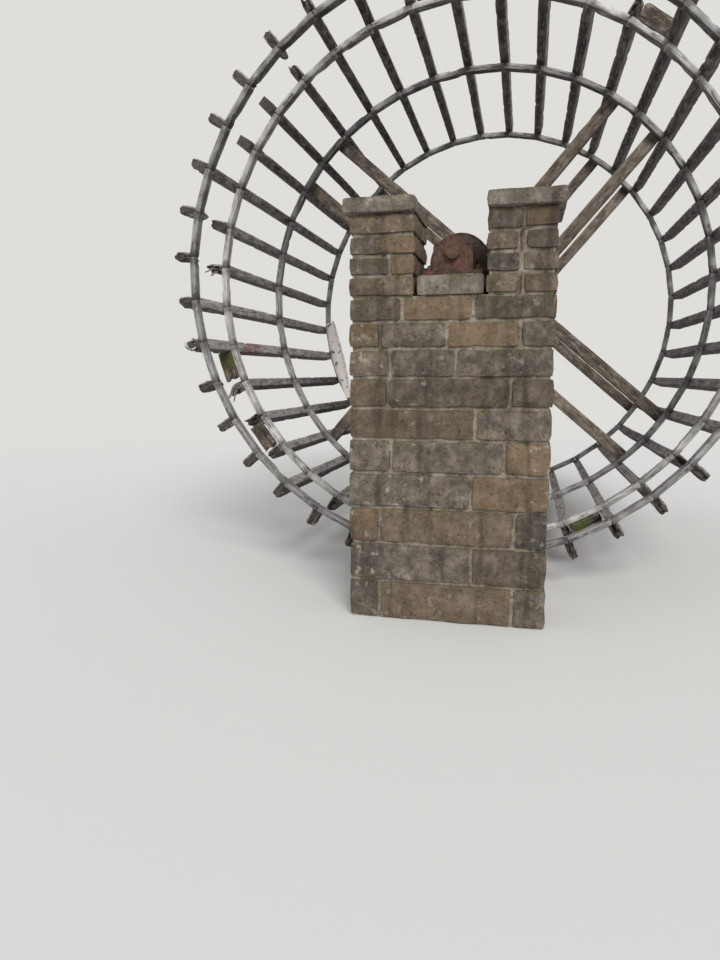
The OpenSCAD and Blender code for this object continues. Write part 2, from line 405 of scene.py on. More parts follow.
# %% Oak end grain
def oak_end_grain():
    material = bpy.data.materials.new("oak end grain")
    add = emptied(material)
    section = add("UVMap", uv_map="grain")
    rings = add("TexWave", {"Vector": section, "Scale": 1 / 0.012, "Distortion": 3.0,
                            "Detail": 2.0, "Detail Scale": 0.6},
                wave_type="RINGS", rings_direction="Z", output="Fac")
    rot, = patterns(add, section, [(0.02, 4, 0.5)])
    both = add("Math", {0: rings, 1: rot}, operation="MULTIPLY")
    wood = add("ValToRGB", {"Fac": both},
               stops=[(0.1, "#2b2522"), (0.35, "#5d534a"), (0.6, "#837a70")])
    return finished(material, add, wood, both, 0.95, (0.8, 0.004))


END_GRAIN = oak_end_grain()

# %% [markdown]
# A sawn board starts as a box cut into a grid of cells, with its four long arrises bevelled.
# Sculpting each board by hand would take weeks, and a displacement modifier would need far more
# faces. So the grid's own points are moved by smooth noise that is longer along the grain than
# across it: a slow bow, worn faces, broken arrises and, where asked, ends torn into tongues.

# %% Grid box and board
TOUCHING = 1e-6


def grid_box(cells):
    """A closed box one metre each way, its sides cut into that many cells along X, Y and Z."""
    box = bmesh.new()
    bmesh.ops.create_cube(box, size=1)
    for axis, count in enumerate(cells):
        if count > 1:
            whole = [e for e in box.edges
                     if abs((e.verts[0].co - e.verts[1].co)[axis]) > 0.99]
            bmesh.ops.subdivide_edges(box, edges=whole, cuts=count - 1, use_grid_fill=True)
    return box


def sawn_board(size, cells, arris=0.006):
    """A board along X, thick along Y and wide along Z, its arrises bevelled and its ends marked
    for end grain."""
    board = grid_box(cells)
    bmesh.ops.scale(board, vec=size, verts=board.verts)
    half = size / 2
    lines = [e for e in board.edges
             if all(abs(abs(v.co.y) - half.y) < TOUCHING and abs(abs(v.co.z) - half.z) < TOUCHING
                    for v in e.verts)]
    bmesh.ops.bevel(board, geom=lines, offset=arris, offset_type="OFFSET", segments=1,
                    profile=0.5, affect="EDGES", material=-1)
    for face in board.faces:
        at_end = all(abs(abs(v.co.x) - half.x) < TOUCHING for v in face.verts)
        face.material_index = 1 if at_end else 0
        face.smooth = not at_end
    for edge in board.edges:
        edge.smooth = len({f.material_index for f in edge.link_faces}) == 1
    return board


def write_grain(board, seed):
    """U along the board and V round it, each board from its own place in the tree. On the ends
    the map lies in the section."""
    luck = random.Random(seed)
    start = (luck.uniform(0, 40), luck.uniform(0, 40))
    grain = board.loops.layers.uv.new("grain")
    for face in board.faces:
        for loop in face.loops:
            x, y, z = loop.vert.co
            place = (y, z) if face.material_index == 1 else (x, y + z)
            loop[grain].uv = (start[0] + place[0], start[1] + place[1])


print("cells of a 4 m float board:", len(sawn_board(Vector((4, 0.085, 0.15)), (60, 3, 5)).faces))

# %% [markdown]
# Each board carries its own marks, which the oak finish reads. A mark can change along the board:
# tones and browns have one value for the near end or the middle and another for the far end.
# A darker far tone is painted shade, and a browner far end is partly damp wood, partly painted
# shade. Stain is written only at the ends, where the nails are.

# %% Marks of a board
STAINED_END = 0.075
FAR_SHARE = (-0.1, 0.2)
NEAR_REACH = (0.4, 0.8)
ARRIS_SHARE = (1.55, 1.85)


def write_marks(board, size, tone=1.0, near_tone=None, far_tone_and_painted_shade=None, brown=0.0, far_brown_damp_and_shade=None,
                moss=0.0, far_moss=None, stain=0.0, paint=None):
    """Writes the marks. A near or far value that isn't given is the same as the plain one."""
    half = size / 2
    layers = {name: board.verts.layers.float.new(name) for name in MARKS}
    near_tone = tone if near_tone is None else near_tone
    far_tone_and_painted_shade = tone if far_tone_and_painted_shade is None else far_tone_and_painted_shade
    far_brown_damp_and_shade = brown if far_brown_damp_and_shade is None else far_brown_damp_and_shade
    far_moss = moss if far_moss is None else far_moss
    for vert in board.verts:
        x, y, z = vert.co
        far = between(x / size.x, *FAR_SHARE)
        away = between(x + half.x, *NEAR_REACH)
        corner = abs(y) / half.y + abs(z) / half.z
        painted = paint and paint[0] < x < paint[1]
        # A far tone below the plain one darkens the far end: painted shade.
        vert[layers["tone"]] = near_tone + (tone - near_tone) * away + (far_tone_and_painted_shade - tone) * far
        # The far brown is partly damp wood and partly painted shade.
        vert[layers["brown"]] = brown + (far_brown_damp_and_shade - brown) * far
        vert[layers["moss"]] = moss + (far_moss - moss) * far
        vert[layers["arris"]] = between(corner, *ARRIS_SHARE)
        vert[layers["stain"]] = stain if abs(x) > half.x - STAINED_END else 0.0
        vert[layers["paint"]] = 1.0 if painted else 0.0


# %% [markdown]
# Weather moves the points. The scales of its noises are waves a metre: under one for the bow,
# 7 along and 26 across the grain for worn faces, and 8 for bites out of the arrises, which start
# where the noise passes BITE_FROM. Torn ends draw back in tongues as wide as the noise of 34 to 45
# waves a metre leaves them.

# %% Weather on a board
BOW_WAVES = 0.8
FACE_WAVES = Vector((7, 26, 26))
BITE_WAVES, BITE_FROM, BITE_DEEPER = 8, 0.38, 4.5
TONGUE_WAVES = (45, 34)
TORN_REACH = 1.6
TORN_NARROWER = 0.35
RAGGED_REACH = 0.75
DROOP_REACH = 0.26


def weather(board, size, seed, bow=0.006, wear=0.003, broken=0.008, ragged=0.0, torn=(0.0, 0.0),
            droop=0.0):
    """Moves the points of a board as weather does. Ragged is an extra loss over the first
    RAGGED_REACH of the board, torn gives how deep each end is splintered, and droop how far the
    near end hangs."""
    luck = random.Random(seed)
    start = Vector([luck.uniform(0, 90) for _ in range(3)])
    half = size / 2
    for vert in board.verts:
        x, y, z = vert.co
        side_y, side_z = y / half.y, z / half.z
        slow = noise.noise_vector(Vector((x * BOW_WAVES, 0, 0)) + start)
        fine = abs(noise.noise(vert.co * FACE_WAVES + start))
        corner = max(0.0, abs(side_y) + abs(side_z) - 1.5) * 2
        arris = Vector((x * BITE_WAVES, math.copysign(3, y), math.copysign(3, z)))
        bite = max(0.0, noise.noise(arris + start) - BITE_FROM)
        near = max(0.0, 1 - (x + half.x) / RAGGED_REACH)
        lost = wear * fine + BITE_DEEPER * (broken + ragged * near) * corner * bite
        y -= math.copysign(min(abs(side_y), 1) * lost, y)
        z -= math.copysign(min(abs(side_z), 1) * lost, z)
        for end, depth in zip((-1, 1), torn):
            reach = TORN_REACH * depth
            share = (end * x - (half.x - reach)) / reach if depth else -1
            if share > 0:
                across = Vector((end * 9, y * TONGUE_WAVES[0], z * TONGUE_WAVES[1]))
                tongue = noise.noise(across + start)
                x -= end * reach * share * max(0.0, min(1.0, 0.5 + 1.3 * tongue))
                y *= 1 - TORN_NARROWER * share
        hung = max(0.0, 1 - (x + half.x) / DROOP_REACH)
        vert.co = (x, y + bow * slow.y + droop * hung ** 1.6, z + bow * slow.z)


# %% [markdown]
# A finished board is turned into its seat and joined to the others of its node. Its sky mark is
# written last, because it depends on which way each face looks once the board is in place.

# %% Joining boards into pieces
SHARP_FROM = math.radians(35)


def place(piece, board, matrix):
    """Turns a board into its seat, writes how far each point looks up, and joins it to a piece."""
    board.transform(matrix)
    board.normal_update()
    sky = board.verts.layers.float.get("sky")
    if sky:
        for vert in board.verts:
            vert[sky] = vert.normal.z
    carrier = bpy.data.meshes.new("carrier")
    board.to_mesh(carrier)
    board.free()
    piece.from_mesh(carrier)
    bpy.data.meshes.remove(carrier)


def show(piece, name, body, materials, nodes=()):
    """Makes the object of a piece, lets it ride on its body and stand for its nodes."""
    mesh = bpy.data.meshes.new(name)
    piece.to_mesh(mesh)
    piece.free()
    for material in materials:
        mesh.materials.append(material)
    made = bpy.data.objects.new(name, mesh)
    bpy.context.scene.collection.objects.link(made)
    mesh.set_sharp_from_angle(angle=SHARP_FROM)
    flat_faces = made.modifiers.new("flat faces", "WEIGHTED_NORMAL")
    flat_faces.keep_sharp = True
    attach(made, body)
    if nodes:
        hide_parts(*nodes)
    print(name, len(mesh.polygons), "faces")


def oak_board(piece, seated, cells, seed, marks, arris=0.006, **wear):
    """One weathered board in its seat: marks go to the finish and wear to the shape."""
    size, matrix = seated
    board = sawn_board(size, cells, arris)
    write_grain(board, seed)
    write_marks(board, size, **marks)
    weather(board, size, seed, **wear)
    place(piece, board, matrix)


# %% [markdown]
# Each ring is forty short slats nailed to the inner edges of the float boards. No two sit quite in
# line any more, so each is set with a small jog, and four have slipped by 20 to 35 mm. They are
# stouter than their seats, by 10 to 20 mm on the inner side and up to 10 mm towards the near end,
# where nothing else is fixed. The first ring is the darkest and the second the palest, and the
# other two are a little browner.

# %% Ring slats
RING_TONES = {1: 0.62, 2: 1.12, 3: 0.80, 4: 0.84}
RING_BROWNS = {1: 0.08, 2: 0.0, 3: 0.2, 4: 0.2}
JOG = 0.004
WIDER = 0.010
STOUTER = {1: 0.010, 2: 0.014, 3: 0.020, 4: 0.020}
SLIPPED = {(2, 24): 0.035, (3, 13): -0.02, (1, 31): 0.03, (4, 6): -0.03}


def ring_slats(k):
    piece = bmesh.new()
    for points in solids(f"ring_{k}"):
        turn = turn_of(points)
        number = round(turn / STEP)
        luck = random.Random(k * 1000 + number)
        outwards, round_it = spoke(turn)
        size, matrix = seat(points, round_it, outwards, ALONG)
        size += Vector((0, STOUTER[k] - JOG / 2, WIDER - JOG))
        aside = luck.uniform(-JOG, JOG) / 2 + SLIPPED.get((k, number), 0.0)
        inwards = -STOUTER[k] / 2 - JOG / 4 * luck.random()
        jog = Matrix.Translation((0, inwards, aside - WIDER / 2))
        tilt = Matrix.Rotation(math.radians(luck.uniform(-0.8, 0.8)), 4, "Y")
        marks = {"tone": RING_TONES[k] * luck.uniform(0.86, 1.12),
                 "brown": RING_BROWNS[k] + luck.uniform(-0.1, 0.12),
                 "stain": luck.uniform(0.2, 0.8)}
        oak_board(piece, (size, matrix @ jog @ tilt), (9, 2, 3), k * 1000 + number, marks,
                  bow=0.002, wear=0.003, broken=0.010, arris=0.004)
    show(piece, f"ring_slats_{k}", "wheel", (SILVER_OAK, END_GRAIN), [f"ring_{k}"])


for k in RINGS:
    ring_slats(k)

# %% [markdown]
# Forty float boards stand on edge outside the slats. Fifteen still run from the first ring to the
# fourth, and the others have rotted back to the second ring. The sky has bleached some. The far
# halves are browner, partly damp wood and partly painted shade, and on three boards darker as
# painted shade. The outer edges are worn back by 10 mm. The boards that show best get their own
# values, and the rest vary by chance.

# %% Float boards
# The far tones of floats 22, 23 and 24 darken their far halves: painted shade. The far browns are
# partly damp wood and partly painted shade.
FLOAT_LOOKS = {
    17: {"tone": 1.05, "brown": 0.05, "far_brown_damp_and_shade": 0.30},
    18: {"tone": 1.12, "brown": 0.05, "far_brown_damp_and_shade": 0.35},
    19: {"tone": 1.10, "brown": 0.15, "far_brown_damp_and_shade": 0.45},
    20: {"tone": 1.05, "brown": 0.10, "far_brown_damp_and_shade": 0.40, "near_tone": 1.20, "far_tone_and_painted_shade": 1.12},
    21: {"tone": 1.05, "brown": -0.20, "far_brown_damp_and_shade": 0.15, "near_tone": 0.95},
    22: {"tone": 0.82, "brown": 0.35, "far_brown_damp_and_shade": 0.85, "far_tone_and_painted_shade": 0.46},
    23: {"tone": 0.85, "brown": 0.10, "far_brown_damp_and_shade": 0.85, "far_tone_and_painted_shade": 0.44},
    24: {"tone": 0.95, "brown": 0.05, "far_brown_damp_and_shade": 0.55, "far_tone_and_painted_shade": 0.80},
}
TORN_NEAR = {17: 0.01, 18: 0.02, 19: 0.07, 20: 0.02, 21: 0.02, 22: 0.06, 23: 0.09, 24: 0.03}
STOUT_FLOATS = {20: 0.008, 21: 0.016, 23: 0.008}
USUALLY_STOUTER = 0.004
DROOPING = {19: 0.03, 22: 0.09}
OUTER_WEAR = 0.010
RUNS_THROUGH = 4.2
CELL_LENGTH = 0.055
PAINTED_FLOAT = 21
PAINT_FROM, PAINT_TO = 1.00, 1.55


def float_number(points):
    """Which float a solid is, counted from +X up towards +Z."""
    return int(turn_of(points) / STEP)


def float_board(piece, points):
    i = float_number(points)
    luck = random.Random(500 + i)
    outwards, round_it = spoke((i + 0.5) * STEP)
    size, matrix = seat(points, ALONG, round_it, outwards)
    size.y += STOUT_FLOATS.get(i, USUALLY_STOUTER)
    size.z -= OUTER_WEAR
    matrix = matrix @ Matrix.Translation((0, 0, -OUTER_WEAR / 2))
    # The far brown by chance is partly damp wood and partly painted shade.
    chance = {"tone": luck.uniform(0.82, 1.08), "brown": luck.uniform(0.0, 0.3),
              "far_brown_damp_and_shade": luck.uniform(0.25, 0.6)}
    marks = dict(FLOAT_LOOKS.get(i, chance), stain=0.2)
    if i == PAINTED_FLOAT:
        marks["paint"] = (PAINT_FROM - size.x / 2, PAINT_TO - size.x / 2)
    torn_by_chance = luck.choice((0.0, 0.02, 0.03, 0.07))
    torn = (TORN_NEAR.get(i, torn_by_chance), luck.choice((0.0, 0.01, 0.03)))
    oak_board(piece, (size, matrix), (round(size.x / CELL_LENGTH), 3, 5), 500 + i, marks,
              bow=0.006, wear=0.003, broken=0.012, torn=torn, droop=DROOPING.get(i, 0.0),
              ragged=0.03 if size.x > RUNS_THROUGH else 0.0)


for sector in range(1, 9):
    piece = bmesh.new()
    for points in solids(f"floats_{sector}"):
        float_board(piece, points)
    show(piece, f"float_boards_{sector}", "wheel", (FLOAT_OAK, END_GRAIN),
         [f"floats_{sector}"])

# %% [markdown]
# Where a float has rotted away between the first two rings, a stub of it still sits on the first
# ring. The stubs have different lengths and are torn at the end that broke.

# %% Float stubs
STUB_LOOKS = {
    18: {"tone": 1.05, "brown": 0.0},
    19: {"tone": 0.95, "brown": 0.1},
    22: {"tone": 0.95, "brown": 0.05},
    23: {"tone": 1.05, "brown": 0.0},
}


def float_stub(piece, points):
    i = float_number(points)
    luck = random.Random(700 + i)
    outwards, round_it = spoke((i + 0.5) * STEP)
    size, matrix = seat(points, ALONG, round_it, outwards)
    chance = {"tone": luck.uniform(0.85, 1.1), "brown": luck.uniform(0.0, 0.25)}
    marks = dict(STUB_LOOKS.get(i, chance), stain=0.3)
    torn = (luck.choice((0.01, 0.02, 0.03)), min(0.08, 0.28 * size.x))
    oak_board(piece, (size, matrix), (max(6, round(size.x / 0.03)), 4, 6), 700 + i, marks,
              bow=0.004, wear=0.008, broken=0.016, torn=torn, arris=0.007)


for quarter in range(1, 5):
    piece = bmesh.new()
    for points in solids(f"float_stubs_{quarter}"):
        float_stub(piece, points)
    show(piece, f"float_stub_boards_{quarter}", "wheel", (FLOAT_OAK, END_GRAIN),
         [f"float_stubs_{quarter}"])

# %% [markdown]
# Cheek boards once closed the side of the drum at the second ring. A few are left. They stay wet,
# so they are brown, and where the water dripped they carry a cushion of moss.

# %% Cheek boards
MOSSY_CHEEKS = (22, 29, 33)
SHRUNK = 0.024


def cheek_board(piece, points):
    i = round(turn_of(points) / STEP)
    outwards, round_it = spoke(i * STEP)
    size, matrix = seat(points, round_it, ALONG, -outwards)
    size.x -= SHRUNK
    moss = 0.95 if i in MOSSY_CHEEKS else 0.1
    oak_board(piece, (size, matrix), (9, 2, 5), 900 + i,
              {"tone": 0.8, "brown": 0.8, "moss": moss, "far_moss": 0.0},
              bow=0.002, wear=0.005, broken=0.014, torn=(0.010, 0.02))


piece = bmesh.new()
for points in solids("cheek_boards"):
    cheek_board(piece, points)
show(piece, "cheek_board_remains", "wheel", (BROWN_OAK, END_GRAIN), ["cheek_boards"])

# %% [markdown]
# Timber arms clasp the axle in pairs at the third and fourth rings and are halved over each other
# where they cross. The two pairs get slightly different seats, 8 mm apart, so that each joint shows
# its shoulder instead of two faces that fight for the same place.

# %% Arms
ARM_RINGS = (3, 4)
ARM_TURNS = {"rising": 5.5 * STEP, "falling": 15.5 * STEP}
HALVING_STEP = 0.008
ARM_CUT = 0.03


def arm_pair(k, name, shift):
    piece = bmesh.new()
    outwards, round_it = spoke(ARM_TURNS[name])
    corners = [p for points in solids(f"arms_{k}_{name}") for p in points]
    for side in (-1, 1):
        points = [p for p in corners if side * (p - HUB).dot(round_it) > 0]
        size, matrix = seat(points, outwards, ALONG, round_it)
        size.x -= ARM_CUT
        size.y -= HALVING_STEP
        luck = random.Random(f"{k}{name}{side}")
        marks = {"tone": luck.uniform(0.85, 1.12), "brown": luck.uniform(0.1, 0.45), "stain": 0.5}
        oak_board(piece, (size, matrix @ Matrix.Translation((0, shift, 0))), (70, 3, 4),
                  luck.randrange(1000), marks, bow=0.003, wear=0.003, broken=0.008)
    show(piece, f"arm_pair_{k}_{name}", "wheel", (BROWN_OAK, END_GRAIN),
         [f"arms_{k}_{name}"])


for k in ARM_RINGS:
    arm_pair(k, "rising", HALVING_STEP / 2)
    arm_pair(k, "falling", -HALVING_STEP / 2)

# %% [markdown]
# The axle is one oak trunk hewn square with wide chamfers, and rounded at both ends for its iron
# hoops. It is made like a board with large bevels, and its ends are then drawn in to a circle,
# 3 mm inside the hoops.

# %% Axle
AXLE_SIDE = 0.44
AXLE_CHAMFER = 0.06
ROUND_END = 0.16
ROUND_RADIUS = AXLE_SIDE / 2 - 0.003
AXLE_SEED = 40


def axle_timber():
    low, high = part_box("axle")
    size = Vector((high.y - low.y, AXLE_SIDE, AXLE_SIDE))
    outwards, round_it = spoke(ARM_TURNS["rising"])
    board = sawn_board(size, (64, 4, 4), AXLE_CHAMFER)
    write_grain(board, AXLE_SEED)
    write_marks(board, size, tone=0.95, brown=0.3)
    weather(board, size, AXLE_SEED, bow=0.0, wear=0.006, broken=0.012)
    for vert in board.verts:
        inside = size.x / 2 - abs(vert.co.x)
        radius = math.hypot(vert.co.y, vert.co.z)
        if inside < ROUND_END and radius > ROUND_RADIUS:
            vert.co.y *= ROUND_RADIUS / radius
            vert.co.z *= ROUND_RADIUS / radius
    turned = Matrix((ALONG, round_it, outwards)).transposed().to_4x4()
    middle = Matrix.Translation((0, (low.y + high.y) / 2, HUB.z))
    piece = bmesh.new()
    place(piece, board, middle @ turned)
    show(piece, "axle_timber", "wheel", (BROWN_OAK, END_GRAIN), ["axle"])


axle_timber()

# %% [markdown]
# One new softwood board is nailed across the fourth ring. It is painted with limewash, matt and
# nearly white, which flakes off in spots of 60 mm and less and off the arrises, down to the bare
# wood. Its fibres are drawn 8 mm wide, coarser than real, so that they show. Its outer edge is cut
# to a slight bow towards the ring's curve and its inner edge is torn, so it is widest in the middle
# and narrows towards the lower end.

# %% Pale board
NARROWED_TO = 0.55
BOWED = 0.75
INSIDE_SLATS = 0.006
PALE_SEED = 77


def limewashed_softwood():
    material = bpy.data.materials.new("limewashed softwood")
    add = emptied(material)
    fibres, = patterns(add, add("UVMap", uv_map="grain"), [((0.3, 0.008, 1), 4, 0.5)])
    flakes, = patterns(add, add("TexCoord", output="Object"), [(0.06, 4, 0.5)])
    arris = add("Attribute", attribute_name="arris", output="Fac")
    wash = add("ValToRGB", {"Fac": fibres},
               stops=[(0.25, "#e2d9d2"), (0.45, "#f0e7e1"), (0.6, "#f5eee9")])
    wood = lay_over(add, wash, "#7d6a5f", 1, (flakes, 0.61, 0.65))
    wood = lay_over(add, wood, "#a3968c", flakes, (arris, 0, 1))
    return finished(material, add, wood, fibres, 0.8, (0.5, 0.002))


LIMEWASHED = limewashed_softwood()


def torn_edge(x):
    """How far a torn edge jumps at a place along it: long waves and short ones."""
    long_wave = noise.noise(Vector((x * 9, 4.2, 0)))
    short_wave = noise.noise(Vector((x * 26, 0, 1)))
    return 0.06 * long_wave + 0.12 * short_wave


def pale_board():
    points = solids("patch_board")[0]
    outwards, round_it = spoke(turn_of(points))
    size, matrix = seat(points, round_it, ALONG, -outwards)
    board = sawn_board(size, (60, 2, 6), 0.003)
    write_grain(board, PALE_SEED)
    write_marks(board, size)
    weather(board, size, PALE_SEED, bow=0.003, wear=0.001, broken=0.004, torn=(0.004, 0.02))
    half = size / 2
    outer_edge = (matrix.translation - HUB).dot(outwards) + half.z
    for vert in board.verts:
        x, y, z = vert.co
        curve = math.sqrt((SLAT_OUT - INSIDE_SLATS) ** 2 - x ** 2)
        bow = BOWED * max(0.0, curve - outer_edge)
        lower = max(0.0, x / size.x) / 0.5
        kept = 0.97 - (1 - NARROWED_TO) * lower + torn_edge(x)
        inwards = (z + half.z) / size.z
        vert.co.z = -half.z + inwards * size.z * kept - bow * (1 - inwards)
    piece = bmesh.new()
    place(piece, board, matrix)
    show(piece, "pale_board", "wheel", (LIMEWASHED, END_GRAIN), ["patch_board"])


pale_board()

# %% [markdown]
# Splits have left the near ends of two floats like brooms: long splinters that still hang on and
# droop. Each is a thin board that tapers and bends down further along its length.
# They start inside the torn end of the board, so none of them hangs in the air.

# %% Splinters
HANGING = {22: 4, 19: 2}
RING_2_NEAR = RING_Y[2] - 0.11
TAPER = 0.6
WAVE = 0.02


def splinter(piece, root, way, length, width, droop, seed, marks):
    luck = random.Random(seed)
    size = Vector((length, width * 0.6, width))
    board = sawn_board(size, (7, 1, 1), width * 0.15)
    write_grain(board, seed)
    write_marks(board, size, **marks)
    for vert in board.verts:
        share = vert.co.x / length + 0.5
        vert.co.y *= 1 - TAPER * share
        vert.co.z *= 1 - TAPER * share
        vert.co.y += WAVE * math.sin(3 * share + seed) * share
        vert.co.x += length / 2
    way = way.normalized()
    side = way.cross(UP).normalized()
    matrix = Matrix.Translation(root) @ Matrix((way, side.cross(way), -side)).transposed().to_4x4()
    board.transform(matrix @ Matrix.Rotation(luck.uniform(-1, 1), 4, "X"))
    for vert in board.verts:
        vert.co.z -= droop * (vert.co - root).length_squared
    place(piece, board, Matrix.Identity(4))


def torn_splinters():
    piece = bmesh.new()
    for i, count in HANGING.items():
        outwards, round_it = spoke((i + 0.5) * STEP)
        luck = random.Random(i)
        for n in range(count):
            radius = SLAT_OUT + 0.015 + 0.12 * (n + 0.5) / count
            root = HUB + outwards * radius + round_it * luck.uniform(-0.025, 0.025)
            root.y = RING_2_NEAR + luck.uniform(0.12, 0.17)
            way = Vector((luck.uniform(-0.15, 0.1), -1, luck.uniform(-0.35, 0.1)))
            length, width = luck.uniform(0.20, 0.28), luck.uniform(0.026, 0.040)
            droop = luck.uniform(0.9, 1.6)
            splinter(piece, root, way, length, width, droop, i * 20 + n,
                     {"tone": luck.uniform(1.0, 1.3), "brown": -0.2})
    show(piece, "torn_splinters", "wheel", (FLOAT_OAK, END_GRAIN))


torn_splinters()

# %% [markdown]
# A strip has peeled off at the first ring and dried into a curl. Bending a flat strip with a
# modifier would work, but spinning its short cross-section round an axis gives the curl directly.

# %% Curled strip
CURL_FLOAT = 21
CURL_RADIUS = 0.05
CURL_WIDTH, CURL_THICK = 0.03, 0.008
CURL_ANGLE, CURL_TURN = math.radians(280), math.radians(70)
CURL_OUT, CURL_BEFORE = 0.06, 0.075


def curled_strip():
    curl = bmesh.new()
    bmesh.ops.create_grid(curl, x_segments=1, y_segments=1, size=0.5)
    bmesh.ops.scale(curl, vec=(CURL_THICK, CURL_WIDTH, 1), verts=curl.verts)
    bmesh.ops.rotate(curl, verts=curl.verts, matrix=Matrix.Rotation(math.pi / 2, 3, "Y"))
    bmesh.ops.translate(curl, vec=(0, 0, CURL_RADIUS), verts=curl.verts)
    bmesh.ops.spin(curl, geom=curl.verts[:] + curl.edges[:] + curl.faces[:], cent=(0, 0, 0),
                   axis=(0, 1, 0), dvec=(0, 0.002, 0), angle=CURL_ANGLE, steps=16,
                   use_merge=False)
    bmesh.ops.recalc_face_normals(curl, faces=curl.faces)
    grain = curl.loops.layers.uv.new("grain")
    for face in curl.faces:
        face.smooth = True
        for loop in face.loops:
            spot = loop.vert.co
            loop[grain].uv = (3 + math.atan2(spot.x, spot.z) * CURL_RADIUS, 5 + spot.y)
    write_marks(curl, Vector((1, 1, 1)), tone=1.2, brown=-0.2)
    outwards, _ = spoke((CURL_FLOAT + 0.5) * STEP)
    at = HUB + outwards * (SLAT_OUT + CURL_OUT)
    at.y = RING_Y[1] - CURL_BEFORE
    piece = bmesh.new()
    place(piece, curl, Matrix.Translation(at) @ Matrix.Rotation(CURL_TURN, 4, "Z"))
    show(piece, "curled_strip", "wheel", (SILVER_OAK,))


curled_strip()

# %% [markdown]
# Wrought and cast iron in the wet rusts from dark scale to orange. The finish mixes three browns by
# noise at the size of real rust blooms, 10 to 60 mm, is not metallic, since rust is an oxide, and
# has a fine pitted bump.

# %% Rusted iron
def rusted_iron():
    material = bpy.data.materials.new("rusted cast iron")
    add = emptied(material)
    blooms, pits = patterns(add, add("TexCoord", output="Object"),
                            [(0.05, 6, 0.65), (0.006, 3, 0.5)])
    mixed = add("Math", {0: blooms, 1: pits}, operation="MULTIPLY")
    rust = add("ValToRGB", {"Fac": mixed},
               stops=[(0.16, "#2b2523"), (0.25, "#4c352a"), (0.36, "#744a33")])
    return finished(material, add, rust, mixed, 0.82, (0.6, 0.002))


RUSTED = rusted_iron()
IRON_NODES = ("axle_hoops", "gudgeon_near", "gudgeon_far", "bearing_near", "bearing_far",
              "bearing_cap_near", "bearing_cap_far")
for name in IRON_NODES:
    mesh = frame["nodes"][name].data
    mesh.materials.clear()
    mesh.materials.append(RUSTED)
print("iron nodes that keep their own shape:", len(IRON_NODES))

# %% [markdown]
# Old ironwork is held by square nuts, and on timber they bear on square washers. One bolt end is
# made as a helper and set wherever two pieces are bolted together, each turned a little by chance.
# It has a few dozen faces, because there are forty-four of them.

# %% Nuts and washers
NUT_SIDE, NUT_THICK, NUT_BEVEL = 0.042, 0.024, 0.003
WASHER_SIDE, WASHER_THICK = 0.085, 0.006
BOLT_RADIUS, BOLT_LENGTH, BOLT_OUT = 0.011, 0.02, 0.005


def facing(spot, way, twist=0.0):
    """A matrix that takes +Z to a way and the origin to a spot."""
    turned = UP.rotation_difference(way).to_matrix().to_4x4()
    return Matrix.Translation(spot) @ turned @ Matrix.Rotation(twist, 4, "Z")


def bolt_end(piece, spot, way, twist, washer):
    end = bmesh.new()
    base = 0.0
    if washer:
        plate = bmesh.ops.create_cube(end, size=1)["verts"]
        bmesh.ops.scale(end, vec=(WASHER_SIDE, WASHER_SIDE, WASHER_THICK), verts=plate)
        bmesh.ops.translate(end, vec=(0, 0, WASHER_THICK / 2), verts=plate)
        base = WASHER_THICK
    nut = bmesh.ops.create_cube(end, size=1)["verts"]
    bmesh.ops.scale(end, vec=(NUT_SIDE, NUT_SIDE, NUT_THICK), verts=nut)
    bmesh.ops.translate(end, vec=(0, 0, base + NUT_THICK / 2), verts=nut)
    edges = list(dict.fromkeys(e for v in nut for e in v.link_edges))
    bmesh.ops.bevel(end, geom=edges, offset=NUT_BEVEL, segments=1, profile=0.5, affect="EDGES",
                    material=-1)
    rod = bmesh.ops.create_cone(end, cap_ends=True, segments=8, radius1=BOLT_RADIUS,
                                radius2=BOLT_RADIUS * 0.85, depth=BOLT_LENGTH)["verts"]
    bmesh.ops.translate(end, vec=(0, 0, base + NUT_THICK + BOLT_OUT), verts=rod)
    place(piece, end, facing(spot, way, twist))


def bolts(name, body, places, seed, twists, washer=False):
    """A piece of bolt ends, from the spot and the way of each."""
    piece = bmesh.new()
    luck = random.Random(seed)
    for spot, way in places:
        bolt_end(piece, spot, way, luck.uniform(*twists), washer)
    show(piece, name, body, (RUSTED,))


# %% [markdown]
# The nails are hand-made, and all that shows of them is their heads, 18 mm across. Two are in each
# end of each slat, driven from inside the drum into the float. They follow the stouter slats: those
# of the frame are 40 mm thick, and the heads stand 2 mm further in.

# %% Ring nails
NAIL_RADIUS, NAIL_THICK = 0.009, 0.005
HEADS_IN = 0.042
NAIL_ACROSS, NAIL_ROUND = 0.022, 0.028
NAIL_JOG = 0.004


def ring_nails():
    piece = bmesh.new()
    luck = random.Random(8)
    for k in RINGS:
        inner = (SLAT_OUT - HEADS_IN - STOUTER[k]) / math.cos(STEP / 2)
        for i in range(FLOATS):
            outwards, round_it = spoke((i + 0.5) * STEP)
            for side in (-1, 1):
                inwards = -spoke((i + 0.5 + side * 0.5) * STEP)[0]
                for across in (-NAIL_ACROSS, NAIL_ACROSS):
                    spot = HUB + outwards * inner + round_it * side * NAIL_ROUND
                    spot += ALONG * (RING_Y[k] + across)
                    spot += Vector([luck.uniform(-NAIL_JOG, NAIL_JOG) for _ in range(3)])
                    head = bmesh.new()
                    bmesh.ops.create_cone(head, cap_ends=True, segments=7, radius1=NAIL_RADIUS,
                                          radius2=NAIL_RADIUS * 0.55, depth=NAIL_THICK)
                    place(piece, head, facing(spot, inwards))
    show(piece, "ring_nails", "wheel", (RUSTED,))


ring_nails()

# %% [markdown]
# Bolts go through the halved crossings of the arms, the feet and caps of the bearings, and the
# round flanges of the gudgeons. Their places come from the boxes of the nodes that they hold.

